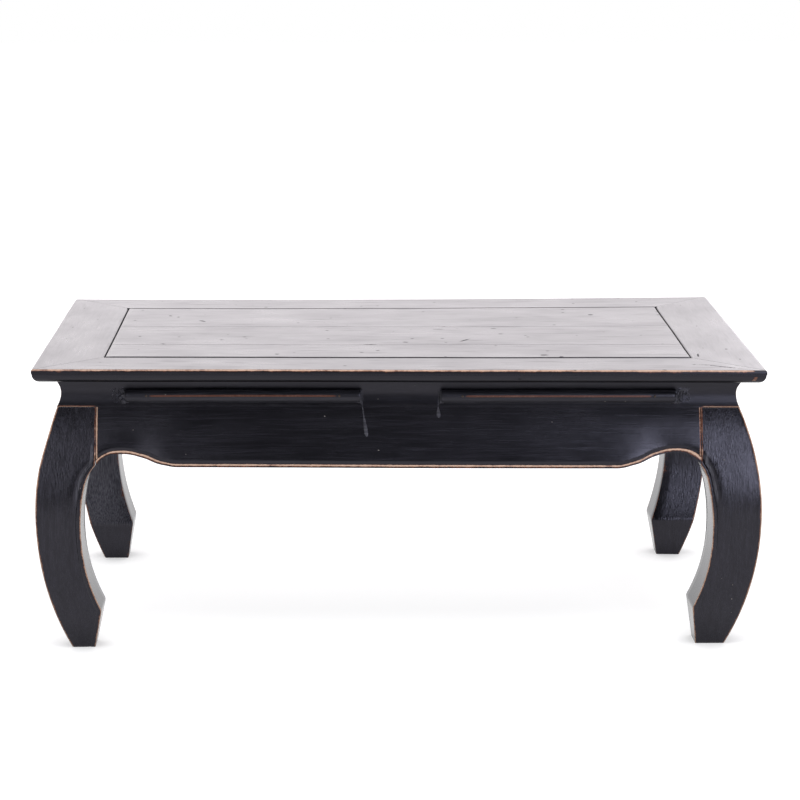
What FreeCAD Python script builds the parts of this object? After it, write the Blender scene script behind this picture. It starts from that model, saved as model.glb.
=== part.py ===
import FreeCAD, Part
import math
import os

# Low opium table in black lacquered wood: a framed top, a waisted apron and four bowed legs.
# Millimetres. X runs along the length, the front faces -Y, Z is up and the floor is z = 0.
# "Inset" is the distance inward from the edge of the top, the same on all four sides.

# Overall size
TABLE_LENGTH = 1000.0
TABLE_DEPTH = 600.0
TABLE_HEIGHT = 400.0

# Fits
CLEARANCE = 0.15
OVERSHOOT = 20.0
PANEL_GAP = 2.0
PANEL_FLOAT = 1.0

# Framed top
TOP_THICKNESS = 19.0
RAIL_WIDTH = 90.0
EDGE_BAND = 6.5
EDGE_STEP = 0.8
EDGE_ROUND = 12.0
ARRIS = 1.5
INNER_ARRIS = 0.8
MITRE_TENON_ALONG = (14.0, 60.0)
MITRE_TENON_INWARD = (22.0, 50.0)
MITRE_TENON_THICKNESS = 6.0
MITRE_TENON_RAISE = 6.5

# Floating panel of three boards, and the battens that keep it flat
PANEL_THICKNESS = 13.0
TONGUE_THICKNESS = 6.0
TONGUE_LENGTH = 9.0
BOARD_SEAMS = (-110.0, 40.0)
BATTEN_SPACING = 230.0
BATTEN_WIDTH = 28.0
BATTEN_HEIGHT = 20.0
BATTEN_LAP = 20.0
BATTEN_LAP_WIDTH = 16.0
DOVETAIL_NECK = 14.0
DOVETAIL_TOP = 18.0
DOVETAIL_HEIGHT = 4.0

# Levels worked down from the top
UNDERSIDE = TABLE_HEIGHT - TOP_THICKNESS
PANEL_BOTTOM = TABLE_HEIGHT - PANEL_THICKNESS
WAIST_HEIGHT = 39.0
WAIST_BOTTOM = UNDERSIDE - WAIST_HEIGHT
HALF_LENGTH = TABLE_LENGTH / 2
HALF_DEPTH = TABLE_DEPTH / 2

# Bowed outer face, shared by the legs and the aprons
BELLY_DROP = 147.0
BOW_HEIGHT = WAIST_BOTTOM - BELLY_DROP
BOW_INSET = 2.5
BOW_RADIUS_ABOVE = 372.0
BOW_RADIUS_BELOW = 479.0

# Waist above the legs
COVE_RISE = 18.0
COVE_HEIGHT = WAIST_BOTTOM + COVE_RISE
COVE_DEPTH = 5.7
BROW_SETBACK = 2.2
WAIST_THICKNESS = 19.5
WAIST_INSET = BOW_INSET + BOW_RADIUS_ABOVE - math.sqrt(BOW_RADIUS_ABOVE**2 - BELLY_DROP**2)
COVE_INSET = WAIST_INSET + COVE_DEPTH
BROW_INSET = WAIST_INSET + BROW_SETBACK
APRON_BACK = COVE_INSET + WAIST_THICKNESS

# Lower edge line: up the inside of a leg, over the corner arch and along the apron
LEG_WAIST_DROP = 167.0
LEG_WAIST_HEIGHT = WAIST_BOTTOM - LEG_WAIST_DROP
LEG_WAIST_INSET = 67.0
HOOF_RADIUS = 310.0
HOOF_SWEEP = 21.5
HOOF_TIP_RADIUS = 12.0
HOOF_TIP_TURN = 31.5
CORNER_RADII = (300.0, 66.0, 36.0)
CORNER_TURNS = (13.5, 31.5, 45.0)
ARCH_FLAT = 4.0
OGEE_RADIUS = 71.0
OGEE_TURN = 33.3

# Bead along that line
BEAD_WIDTH = 5.0
BEAD_GROOVE = 4.5
BEAD_DEPTH = 1.4

# Joints between legs, aprons and top
LEG_TOP_INSET = 86.5
LEG_BLANK = 92.0
POST_TENON = 12.0
POST_TENON_MARGIN = 2.0
POST_TENON_HEIGHT = 11.0
TENON_ROOT = 5.0
APRON_TENON_THICKNESS = 8.0
APRON_TENON_COVER = 6.0
APRON_TENON_BACK = APRON_BACK - APRON_TENON_COVER
APRON_TENON_FRONT = APRON_TENON_BACK - APRON_TENON_THICKNESS
APRON_TENON_HEIGHT = 30.0
APRON_TENON_DROP = 7.0
APRON_TENON_LENGTH = 18.0
APRON_TONGUE_HEIGHT = 5.0
APRON_TONGUE_STOP = 6.0

# Half-round bars pinned into the waist
BAR_LENGTH = 325.0
BAR_GAP = 109.0
BAR_RADIUS = 10.5
BAR_SUNK = 1.5
BAR_INSET = COVE_INSET + BAR_SUNK
BAR_RISE = 16.5
BAR_HEIGHT = WAIST_BOTTOM + BAR_RISE
BAR_END_CHAMFER = 2.5
BRAD_SIDE = 1.5
BRAD_HEAD_RADIUS = 1.6
BRAD_HEAD_SIDES = 8
BRAD_HEAD_PROUD = 0.4
BRAD_HEAD_SUNK = 0.4
BRAD_LENGTH = 20.0
BRAD_FROM_END = 31.5


def vec(x, y, z):
    return FreeCAD.Vector(x, y, z)


def block(x0, x1, y0, y1, z0, z1):
    return Part.makeBox(x1 - x0, y1 - y0, z1 - z0, vec(x0, y0, z0))


def across(inset, height):
    """A point of a cross-section, drawn in the YZ plane with Y standing for the inset."""
    return vec(0, inset, height)


def facing(inset, height):
    """A point of an elevation, drawn in the XZ plane with X standing for the inset."""
    return vec(inset, 0, height)


def arc_through(start, middle, end):
    return Part.Arc(start, middle, end).toShape()


def face_of(edges):
    return Part.Face(Part.Wire(Part.__sortEdges__(edges)))


def polyline(points):
    return [Part.makeLine(a, b) for a, b in zip(points, points[1:])]


def prism(points, z0, z1):
    """An upright prism over a plan outline."""
    loop = [vec(x, y, z0) for x, y in points]
    return face_of(polyline(loop + loop[:1])).extrude(vec(0, 0, z1 - z0))


def turned(shape, degrees):
    """A copy turned about the table's upright centre line."""
    copy = shape.copy()
    copy.rotate(vec(0, 0, 0), vec(0, 0, 1), degrees)
    return copy


# The line that bounds the wood below


def smooth_line(start, heading, steps, shift):
    """Edges of a line made of tangent arcs and straights, moved to its left by shift.

    A step is (length, 0) for a straight and (radius, turn) for an arc; left turns are positive.
    """
    angle = math.radians(heading)
    at = (start[0] - shift * math.sin(angle), start[1] + shift * math.cos(angle))
    edges = []
    for size, turn in steps:
        if turn == 0:
            end = (at[0] + size * math.cos(angle), at[1] + size * math.sin(angle))
            edges.append(Part.makeLine(facing(*at), facing(*end)))
            at = end
            continue
        side = math.copysign(1, turn)
        radius = size - side * shift
        centre = (at[0] - side * radius * math.sin(angle), at[1] + side * radius * math.cos(angle))

        def on_arc(share):
            a = angle + math.radians(turn) * share
            return centre[0] + side * radius * math.sin(a), centre[1] - side * radius * math.cos(a)

        edges.append(arc_through(facing(*at), facing(*on_arc(0.5)), facing(*on_arc(1.0))))
        at = on_arc(1.0)
        angle += math.radians(turn)
    return edges, at


def edge_line(shift):
    """The lower edge line of one corner, moved into the wood by shift, from the foot to the apron."""
    waist = (LEG_WAIST_INSET, LEG_WAIST_HEIGHT)
    to_floor = LEG_WAIST_HEIGHT
    down = [(HOOF_RADIUS, HOOF_SWEEP), (HOOF_TIP_RADIUS, -HOOF_TIP_TURN), (to_floor, 0)]
    up = [(radius, -turn) for radius, turn in zip(CORNER_RADII, CORNER_TURNS)]
    up += [(ARCH_FLAT, 0), (OGEE_RADIUS, -OGEE_TURN), (OGEE_RADIUS, OGEE_TURN)]
    lower, foot = smooth_line(waist, -90, down, -shift)
    upper, end = smooth_line(waist, 90, up, shift)
    return lower + upper, foot, end


def opening(span, shift):
    """The open shape under one side, between two legs, grown into the wood by shift."""
    edges, foot, end = edge_line(shift)
    half = span / 2
    left = Part.Compound(edges)
    left.translate(vec(-half, 0, 0))
    right = left.mirror(vec(0, 0, 0), vec(1, 0, 0))
    straight = Part.makeLine(facing(end[0] - half, end[1]), facing(half - end[0], end[1]))
    floor = Part.makeLine(facing(foot[0] - half, foot[1]), facing(half - foot[0], foot[1]))
    return face_of(left.Edges + right.Edges + [straight, floor])


def through(face, reach):
    """A front elevation pushed from the middle of the table out past its front edge."""
    return face.extrude(vec(0, -(reach + OVERSHOOT), 0))


# The bowed outer face


def bow_inset(height, sunk=0.0):
    """Inset of the bowed face at a height."""
    radius = (BOW_RADIUS_ABOVE if height > BOW_HEIGHT else BOW_RADIUS_BELOW) - sunk
    rise = height - BOW_HEIGHT
    return BOW_INSET + sunk + radius - math.sqrt(radius * radius - rise * rise)


def bow_edges(sunk):
    """The bowed line from the floor to the waist, sunk into the wood by a depth."""
    levels = (0, BOW_HEIGHT / 2, BOW_HEIGHT, (BOW_HEIGHT + WAIST_BOTTOM) / 2, WAIST_BOTTOM)
    foot, low, belly, high, top = [across(bow_inset(z, sunk), z) for z in levels]
    return [arc_through(foot, low, belly), arc_through(belly, high, top)], foot, top


def bowed_section(sunk, back):
    """Cross-section from the bowed line back to an inset, from the floor to the waist."""
    edges, foot, top = bow_edges(sunk)
    return face_of(edges + polyline([top, across(back, WAIST_BOTTOM), across(back, 0), foot]))


def plank_section():
    """Cross-section of an apron plank before its lower edge is cut: bow, waist cove, top and back."""
    edges, foot, top = bow_edges(0.0)
    brow = across(BROW_INSET, UNDERSIDE)
    cove = arc_through(top, across(COVE_INSET, COVE_HEIGHT), brow)
    rest = polyline([brow, across(APRON_BACK, UNDERSIDE), across(APRON_BACK, 0), foot])
    return face_of(edges + [cove] + rest)


def swept(section, reach, half):
    """A cross-section run along one side of the table, its inset counted from that side's edge."""
    copy = section.copy()
    copy.translate(vec(-half, -reach, 0))
    return copy.extrude(vec(2 * half, 0, 0))


def bead_groove(span, reach):
    """The hollow beside the bead: a band along the edge line, one groove deep in the bowed face."""
    wide = opening(span, BEAD_WIDTH + BEAD_GROOVE)
    band = wide.cut(opening(span, BEAD_WIDTH))
    deep = swept(bowed_section(BEAD_DEPTH, reach), reach, span / 2 + OVERSHOOT)
    return through(band, reach).cut(deep)


# Framed top


def mitred_plan(half, reach, depth):
    """Plan outline of a member whose ends are mitred into its neighbours."""
    return ((-half, -reach), (half, -reach), (half - depth, depth - reach), (depth - half, depth - reach))


def rail_section():
    """Cross-section of a frame member: worn top arris, flat band, small step and a big round below."""
    band = TABLE_HEIGHT - EDGE_BAND
    turn = ARRIS * (1 - math.sqrt(0.5))
    arris = arc_through(across(ARRIS, TABLE_HEIGHT), across(turn, TABLE_HEIGHT - turn),
                        across(0, TABLE_HEIGHT - ARRIS))
    lip = across(EDGE_STEP, UNDERSIDE + EDGE_ROUND)
    sag = EDGE_ROUND * (1 - math.sqrt(0.5))
    under = across(EDGE_STEP + EDGE_ROUND, UNDERSIDE)
    belly = arc_through(lip, across(EDGE_STEP + sag, UNDERSIDE + sag), under)
    band_line = polyline([across(0, TABLE_HEIGHT - ARRIS), across(0, band), across(EDGE_STEP, band), lip])
    inside = polyline([under, across(RAIL_WIDTH, UNDERSIDE),
                       across(RAIL_WIDTH, TABLE_HEIGHT - INNER_ARRIS),
                       across(RAIL_WIDTH - INNER_ARRIS, TABLE_HEIGHT), across(ARRIS, TABLE_HEIGHT)])
    return face_of([arris, belly] + band_line + inside)


def at_both_ends(make):
    """A shape made for the left end of a side, with its mirror image at the right end."""
    left = make()
    return [left, left.mirror(vec(0, 0, 0), vec(1, 0, 0))]


def mitre_tenon(along, inward, half, reach, slack):
    """Tenon of a long rail through the mitre, placed by its insets along and inward of one side."""
    bottom = UNDERSIDE + MITRE_TENON_RAISE
    return block(along[0] - slack - half, along[1] + slack - half,
                 inward[0] - slack - reach, inward[1] + slack - reach,
                 bottom - slack, bottom + MITRE_TENON_THICKNESS + slack)


def post_tenon(inset_x, inset_y, slack):
    """One of the two tenons on top of a leg, in insets from the corner of the top."""
    return block(inset_x - slack, inset_x + POST_TENON + slack, inset_y - slack, inset_y + POST_TENON + slack,
                 UNDERSIDE - 1, UNDERSIDE + POST_TENON_HEIGHT + slack)


def post_tenons(slack):
    """The pair of leg tenons, one for the long rail and one for the end rail."""
    near = APRON_BACK + POST_TENON_MARGIN
    far = LEG_TOP_INSET - POST_TENON_MARGIN - POST_TENON
    return post_tenon(far, near, slack), post_tenon(near, far, slack)


def apron_tongue(half, reach, slack):
    """Tongue along the top of an apron, in a groove under the frame."""
    near, far = APRON_TENON_FRONT, APRON_TENON_BACK
    stop = half - LEG_TOP_INSET - APRON_TONGUE_STOP
    return block(-stop - slack, stop + slack, near - slack - reach, far + slack - reach,
                 UNDERSIDE - 1, UNDERSIDE + APRON_TONGUE_HEIGHT + slack)


def frame_rail(half, reach):
    """A frame member with its panel groove and the groove for the apron's tongue."""
    rail = swept(rail_section(), reach, half)
    rail = rail.common(prism(mitred_plan(half, reach, RAIL_WIDTH), UNDERSIDE, TABLE_HEIGHT))
    groove_depth = TONGUE_LENGTH - PANEL_GAP + PANEL_FLOAT
    groove = block(-half, half, RAIL_WIDTH - groove_depth - reach, RAIL_WIDTH + 1 - reach,
                   PANEL_BOTTOM, PANEL_BOTTOM + TONGUE_THICKNESS + CLEARANCE)
    return rail.cut(groove).cut(apron_tongue(half, reach, CLEARANCE))


def leg_mortises(half, reach):
    """Sockets for the leg tenons at the two ends of one side."""
    def left():
        pair = Part.Compound(list(post_tenons(CLEARANCE)))
        pair.translate(vec(-half, -reach, 0))
        return pair
    return at_both_ends(left)


def long_rail():
    half, reach = HALF_LENGTH, HALF_DEPTH
    rail = frame_rail(half, reach)
    for tenon in at_both_ends(
            lambda: mitre_tenon(MITRE_TENON_ALONG, MITRE_TENON_INWARD, half, reach, 0)):
        rail = rail.fuse(tenon)
    for mortise in leg_mortises(half, reach):
        rail = rail.cut(mortise)
    for place in batten_places():
        rail = rail.cut(batten_lap(place, CLEARANCE))
    return rail.removeSplitter()


def end_rail():
    half, reach = HALF_DEPTH, HALF_LENGTH
    rail = frame_rail(half, reach)
    for socket in at_both_ends(
            lambda: mitre_tenon(MITRE_TENON_INWARD, MITRE_TENON_ALONG, half, reach, CLEARANCE)):
        rail = rail.cut(socket)
    for mortise in leg_mortises(half, reach):
        rail = rail.cut(mortise)
    return rail.removeSplitter()


# Panel and battens


def batten_places():
    return (-BATTEN_SPACING, 0.0, BATTEN_SPACING)


def batten_lap(place, slack):
    """The thin end of a batten, let into the underside of the front rail."""
    half = BATTEN_LAP_WIDTH / 2 + slack
    inner = RAIL_WIDTH - HALF_DEPTH
    return block(place - half, place + half, inner - BATTEN_LAP - slack, inner + TENON_ROOT,
                 UNDERSIDE, PANEL_BOTTOM)


def dovetail(place, slack):
    """Ridge on a batten that slides into the underside of the panel."""
    neck = DOVETAIL_NECK / 2 + slack
    top = DOVETAIL_TOP / 2 + slack
    reach = HALF_DEPTH - RAIL_WIDTH
    height = PANEL_BOTTOM + DOVETAIL_HEIGHT + slack
    corners = [(-neck, PANEL_BOTTOM), (neck, PANEL_BOTTOM), (top, height), (-top, height)]
    loop = [vec(place + x, -reach, z) for x, z in corners]
    return face_of(polyline(loop + loop[:1])).extrude(vec(0, 2 * reach, 0))


def batten(place):
    half = BATTEN_WIDTH / 2
    reach = HALF_DEPTH - RAIL_WIDTH
    body = block(place - half, place + half, -reach, reach, PANEL_BOTTOM - BATTEN_HEIGHT, PANEL_BOTTOM)
    lap = batten_lap(place, 0)
    other_lap = lap.mirror(vec(0, 0, 0), vec(0, 1, 0))
    return body.fuse([dovetail(place, 0), lap, other_lap]).removeSplitter()


def panel_board(back, front):
    """One board of the panel between two Y limits, with its tongue and the batten slots."""
    field_x = HALF_LENGTH - RAIL_WIDTH - PANEL_GAP
    field_y = HALF_DEPTH - RAIL_WIDTH - PANEL_GAP
    field = block(-field_x, field_x, max(front, -field_y), min(back, field_y), PANEL_BOTTOM, TABLE_HEIGHT)
    rim = [edge for edge in field.Edges if edge.BoundBox.ZMin > TABLE_HEIGHT - 0.01]
    field = field.makeChamfer(INNER_ARRIS, rim)
    tongue_x = field_x + TONGUE_LENGTH
    tongue_y = field_y + TONGUE_LENGTH
    tongue = block(-tongue_x, tongue_x, max(front, -tongue_y), min(back, tongue_y),
                   PANEL_BOTTOM, PANEL_BOTTOM + TONGUE_THICKNESS)
    board = field.fuse(tongue)
    for place in batten_places():
        board = board.cut(dovetail(place, CLEARANCE))
    return board.removeSplitter()


# Aprons


def apron_tenon(half, reach, slack):
    """Tenon on the left end of an apron, in the side of a leg."""
    near, far = APRON_TENON_FRONT, APRON_TENON_BACK
    high = WAIST_BOTTOM - APRON_TENON_DROP
    low = high - APRON_TENON_HEIGHT
    start = LEG_TOP_INSET - APRON_TENON_LENGTH
    return block(start - slack - half, LEG_TOP_INSET + TENON_ROOT - half,
                 near - slack - reach, far + slack - reach, low - slack, high + slack)


def apron(span, reach):
    """Waist and apron of one side in one plank, lying over the leg tops and mitred at the corners."""
    half = span / 2
    plank = swept(plank_section(), reach, half)
    plank = plank.common(prism(mitred_plan(half, reach, APRON_BACK), LEG_WAIST_HEIGHT, UNDERSIDE))
    plank = plank.cut(through(opening(span, 0), reach))
    for notch in at_both_ends(lambda: block(-half, LEG_TOP_INSET - half, -reach, 0, 0, WAIST_BOTTOM)):
        plank = plank.cut(notch)
    plank = plank.cut(bead_groove(span, reach))
    for tenon in at_both_ends(lambda: apron_tenon(half, reach, 0)):
        plank = plank.fuse(tenon)
    return plank.fuse(apron_tongue(half, reach, 0)).removeSplitter()


# Legs


def bowed_leg():
    """The front left leg: square, bowed out on both outer faces, scooped inside above a hoof foot."""
    corner = vec(-HALF_LENGTH, -HALF_DEPTH, 0)
    foot = block(0, LEG_BLANK, 0, LEG_BLANK, 0, LEG_WAIST_HEIGHT)
    shoulder = block(0, LEG_TOP_INSET, 0, LEG_TOP_INSET, LEG_WAIST_HEIGHT, WAIST_BOTTOM)
    blank = foot.fuse(shoulder)
    blank.translate(corner)
    front_bow = swept(bowed_section(0.0, LEG_BLANK), HALF_DEPTH, HALF_LENGTH)
    end_bow = turned(swept(bowed_section(0.0, LEG_BLANK), HALF_LENGTH, HALF_DEPTH), -90)
    leg = blank.common(front_bow).common(end_bow)
    leg = leg.cut(through(opening(TABLE_LENGTH, 0), HALF_DEPTH))
    leg = leg.cut(turned(through(opening(TABLE_DEPTH, 0), HALF_LENGTH), -90))
    leg = leg.cut(bead_groove(TABLE_LENGTH, HALF_DEPTH))
    leg = leg.cut(turned(bead_groove(TABLE_DEPTH, HALF_LENGTH), -90))
    post = block(APRON_BACK, LEG_TOP_INSET, APRON_BACK, LEG_TOP_INSET, WAIST_BOTTOM, UNDERSIDE)
    post = post.fuse(list(post_tenons(0)))
    post.translate(corner)
    leg = leg.fuse(post)
    leg = leg.cut(apron_tenon(HALF_LENGTH, HALF_DEPTH, CLEARANCE))
    end_socket = apron_tenon(HALF_DEPTH, HALF_LENGTH, CLEARANCE).mirror(vec(0, 0, 0), vec(1, 0, 0))
    return leg.cut(turned(end_socket, -90)).removeSplitter()


# Waist bars and their brads


def waist_bar(centre, reach):
    """A half-round bar lying in the cove of one side."""
    start = vec(centre - BAR_LENGTH / 2, BAR_INSET - reach, BAR_HEIGHT)
    rod = Part.makeCylinder(BAR_RADIUS, BAR_LENGTH, start, vec(1, 0, 0))
    rims = [edge for edge in rod.Edges if isinstance(edge.Curve, Part.Circle)]
    rod = rod.makeChamfer(BAR_END_CHAMFER, rims)
    return rod.cut(swept(plank_section(), reach, HALF_LENGTH))


def brad(x, reach):
    """A small cut nail with a faceted head, through the crest of a bar into the waist."""
    front = BAR_INSET - BAR_RADIUS - BRAD_HEAD_PROUD - reach
    turns = [2 * math.pi * k / BRAD_HEAD_SIDES for k in range(BRAD_HEAD_SIDES)]
    rim = [vec(x + BRAD_HEAD_RADIUS * math.cos(a), front, BAR_HEIGHT + BRAD_HEAD_RADIUS * math.sin(a))
           for a in turns]
    head = face_of(polyline(rim + rim[:1])).extrude(vec(0, BRAD_HEAD_PROUD + BRAD_HEAD_SUNK, 0))
    half = BRAD_SIDE / 2
    shank = block(x - half, x + half, front, front + BRAD_LENGTH, BAR_HEIGHT - half, BAR_HEIGHT + half)
    return head.fuse(shank).removeSplitter()


def bar_centres(pair):
    """Bar middles along one side: a pair on the long sides, one on the ends."""
    offset = (BAR_GAP + BAR_LENGTH) / 2
    return (-offset, offset) if pair else (0.0,)


def brads_of(centre, reach):
    from_middle = BAR_LENGTH / 2 - BRAD_FROM_END
    return [brad(centre - from_middle, reach), brad(centre + from_middle, reach)]


def dressed_side(span, reach, pair):
    """An apron with its bars and brads, every nail hole cut."""
    board = apron(span, reach)
    bars, nails = [], []
    for centre in bar_centres(pair):
        pins = brads_of(centre, reach)
        board = board.cut(pins)
        bars.append(waist_bar(centre, reach).cut(pins))
        nails += pins
    return board, bars, nails


# The whole table


def build():
    nodes = {}
    long_side = long_rail()
    end_side = end_rail()
    nodes["top_rail_front"] = long_side
    nodes["top_rail_back"] = turned(long_side, 180)
    nodes["top_end_left"] = turned(end_side, -90)
    nodes["top_end_right"] = turned(end_side, 90)
    lower, upper = BOARD_SEAMS
    nodes["panel_board_front"] = panel_board(lower, -HALF_DEPTH)
    nodes["panel_board_middle"] = panel_board(upper, lower)
    nodes["panel_board_back"] = panel_board(HALF_DEPTH, upper)
    for name, place in zip(("left", "middle", "right"), batten_places()):
        nodes["panel_batten_" + name] = batten(place)

    nails = []
    front, front_bars, front_nails = dressed_side(TABLE_LENGTH, HALF_DEPTH, True)
    end, end_bars, end_nails = dressed_side(TABLE_DEPTH, HALF_LENGTH, False)
    for name, degrees in (("front", 0), ("back", 180)):
        nodes["apron_" + name] = turned(front, degrees)
        left, right = front_bars if degrees == 0 else front_bars[::-1]
        nodes["waist_bar_" + name + "_left"] = turned(left, degrees)
        nodes["waist_bar_" + name + "_right"] = turned(right, degrees)
        nails += [turned(nail, degrees) for nail in front_nails]
    for name, degrees in (("left", -90), ("right", 90)):
        nodes["apron_" + name] = turned(end, degrees)
        nodes["waist_bar_" + name] = turned(end_bars[0], degrees)
        nails += [turned(nail, degrees) for nail in end_nails]
    nodes["bar_brads"] = Part.Compound(nails)

    leg = bowed_leg()
    across_x, across_y = vec(1, 0, 0), vec(0, 1, 0)
    middle = vec(0, 0, 0)
    nodes["leg_front_left"] = leg
    nodes["leg_front_right"] = leg.mirror(middle, across_x)
    nodes["leg_back_left"] = leg.mirror(middle, across_y)
    nodes["leg_back_right"] = leg.mirror(middle, across_x).mirror(middle, across_y)
    return nodes


os.makedirs("parts", exist_ok=True)
for node, shape in build().items():
    shape.exportStep("parts/" + node + ".step")
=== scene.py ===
import math

import bmesh
import bpy
import numpy as np
from mathutils import Matrix, Vector, noise


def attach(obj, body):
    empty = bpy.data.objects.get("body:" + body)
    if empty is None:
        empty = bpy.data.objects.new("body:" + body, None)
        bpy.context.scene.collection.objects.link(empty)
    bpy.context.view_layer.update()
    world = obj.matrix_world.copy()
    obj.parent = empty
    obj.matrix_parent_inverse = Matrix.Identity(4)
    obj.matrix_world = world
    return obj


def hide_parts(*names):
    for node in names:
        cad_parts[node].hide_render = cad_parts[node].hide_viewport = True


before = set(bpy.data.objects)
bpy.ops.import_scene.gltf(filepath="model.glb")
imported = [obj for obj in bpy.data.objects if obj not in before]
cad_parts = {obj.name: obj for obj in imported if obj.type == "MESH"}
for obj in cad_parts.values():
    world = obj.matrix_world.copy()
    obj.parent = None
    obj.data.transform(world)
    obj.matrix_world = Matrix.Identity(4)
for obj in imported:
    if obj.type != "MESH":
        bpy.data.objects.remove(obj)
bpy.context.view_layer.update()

# Sizes in millimetres, the same as the solids carry; meshes are made in metres
MM = 0.001
HALF_LENGTH = 500.0
HALF_DEPTH = 300.0
HEIGHT = 400.0

# Top frame and floating panel
UNDERSIDE = 381.0
PANEL_BOTTOM = 387.0
TONGUE_TOP = 393.0
RAIL_WIDTH = 90.0
PANEL_GAP = 2.0
BOARD_SEAMS = (-110.0, 40.0)
EDGE_BAND = 6.5
EDGE_STEP = 0.8
EDGE_ROUND = 12.0

# Waist and apron, and the bow of their outer faces and the legs'
WAIST_BOTTOM = 342.0
BOW_HEIGHT = 195.0
BOW_INSET = 2.5
BOW_RADIUS_ABOVE = 372.0
BOW_RADIUS_BELOW = 479.0
WAIST_INSET = 32.77
COVE_INSET = 38.47
BROW_INSET = 34.97
APRON_BACK = 57.97
JOINT_INSET = 86.5

# The line of the leg's inner edge and the apron's lower edge: radius and turn of each arc,
# or length and no turn for a straight, from the leg's waist down and from there up
LEG_WAIST = (67.0, 175.0)
HOOF_STEPS = ((310.0, 21.5), (12.0, -31.5), (70.0, 0.0))
ARCH_STEPS = ((300.0, -13.5), (66.0, -31.5), (36.0, -45.0), (4.0, 0.0),
              (71.0, -33.3), (71.0, 33.3), (320.0, 0.0))
# How far the hand-cut arch hangs below that line at each corner, from front left round by front right
CORNER_SAG = (4.8, 2.9, 3.5, 3.5)
# How much wider the bead is at each corner than along the aprons, in the same order
CORNER_BEAD = (1.0, 1.4, 1.2, 1.2)

# Half-round bars in the waist and their brads
BAR_LENGTH = 325.0
BAR_GAP = 109.0
BAR_RADIUS = 10.5
BAR_INSET = 39.97
BAR_HEIGHT = 358.5
BRAD_FROM_END = 31.5
BRAD_HEAD_RADIUS = 1.7
BRAD_HEAD_DOME = 0.42
BRAD_SUNK = 0.1
# The bars are nailed on this high, a little below their drawn line, on which the brads stay
BAR_SEAT = 356.5
# Lacquer hides this much of a bar's ends, and the first bar of a pair is nailed on this far to one side
BAR_END_HIDDEN = 2.5
BAR_SHIFT = 4.0
# Length and sideways lean of the drips at the front bars' inner ends, by the end that they hang from
FRONT_DRIPS = {1: (50, 7.5), -1: (25, 1.0)}
DRIP_FROM_END = 1.2

# Knocks in the top: place, half length and half width, and turn of each dent or scratch
KNOCK_DEPTH = 4
TOP_KNOCKS = (
    ((-290, 94), (9, 3), -54), ((-341, 140), (3, 4), 0), ((-328, 130), (3, 3), 0),
    ((-372, -41), (3, 3), 0), ((-334, -103), (6, 3), -40), ((-252, -69), (4, 3), 0),
    ((-169, -184), (4, 4), 0), ((-40, -106), (12, 2), 0), ((12, -87), (4, 3), 0),
    ((98, -73), (17, 2), 56), ((63, 20), (9, 2), 0), ((145, 25), (6, 2), 0), ((153, -21), (4, 3), 0),
    ((204, -190), (6, 4), 0), ((227, -204), (3, 4), 0), ((299, 142), (4, 4), 0),
    ((465, -145), (2, 4), 0), ((419, -190), (14, 2), 85), ((441, -272), (34, 3), -29),
)


# Nodes


def linear(hex_colour):
    """An sRGB hex colour as linear red, green, blue and alpha."""
    values = [int(hex_colour[k:k + 2], 16) / 255 for k in (1, 3, 5)]
    return [v / 12.92 if v <= 0.04045 else ((v + 0.055) / 1.055) ** 2.4 for v in values] + [1.0]


def add(tree, kind, settings=None):
    """Adds a node; a setting is a property of the node, or a value or a link for one of its sockets."""
    node = tree.nodes.new(kind)
    for key, value in (settings or {}).items():
        if isinstance(value, bpy.types.NodeSocket):
            tree.links.new(value, node.inputs[key])
        elif isinstance(key, str) and hasattr(node, key):
            setattr(node, key, value)
        else:
            node.inputs[key].default_value = value
    return node


def arithmetic(tree, operation, *values):
    """One step of arithmetic on links or numbers."""
    return add(tree, "ShaderNodeMath", {"operation": operation, **dict(enumerate(values))}).outputs[0]


def weighted(tree, total, *parts):
    """A value with patterns added to it, each times its weight."""
    for weight, pattern in parts:
        total = arithmetic(tree, "MULTIPLY_ADD", pattern, weight, total)
    return total


def rescaled(tree, value, start, full, low=0.0, high=1.0, smooth=False):
    """A value from between start and full brought to between low and high."""
    kind = "SMOOTHSTEP" if smooth else "LINEAR"
    return add(tree, "ShaderNodeMapRange",
               {"interpolation_type": kind, 0: value, 1: start, 2: full, 3: low, 4: high}).outputs[0]


def mixed(tree, share, first, second):
    """The first colour passing into the second by a share; a colour is a hex value or a link."""
    first, second = [linear(colour) if isinstance(colour, str) else colour for colour in (first, second)]
    return add(tree, "ShaderNodeMix", {"data_type": "RGBA", 0: share, 6: first, 7: second}).outputs[2]


def new_material(name):
    """A new material, its node tree and the coordinates of the piece that it is on."""
    material = bpy.data.materials.new(name)
    material.use_nodes = True
    tree = material.node_tree
    tree.nodes.clear()
    return material, tree, add(tree, "ShaderNodeTexCoord").outputs["Object"]


def finish_material(tree, look):
    """Ends a material in one surface of this look."""
    shader = add(tree, "ShaderNodeBsdfPrincipled", look).outputs[0]
    add(tree, "ShaderNodeOutputMaterial", {0: shader})


def stretched(tree, coords, along, length, width):
    """Coordinates that count in steps of this length along the grain and width across it, in millimetres."""
    scale = [1 / (width * MM)] * 3
    scale[along] = 1 / (length * MM)
    return add(tree, "ShaderNodeMapping", {"Vector": coords, "Scale": scale}).outputs[0]


def streaks(tree, coords, along, length, width, detail):
    """Noise drawn out along the grain, in streaks of about this length and width in millimetres."""
    drawn = stretched(tree, coords, along, length, width)
    return add(tree, "ShaderNodeTexNoise",
               {"Vector": drawn, "Scale": 1.0, "Detail": detail, "Roughness": 0.6}).outputs[0]


# Black lacquer

# The pale nick colour is partly chips through the coat and partly painted glints on dents
PALE_CHIP_AND_PAINTED_GLINT = "#8d867f"
DARK_NICK = "#0b0a0a"
UNDERCOAT = "#74452c"
BARE_WOOD = ("#c49a7c", "#e3c6ae")
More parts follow.
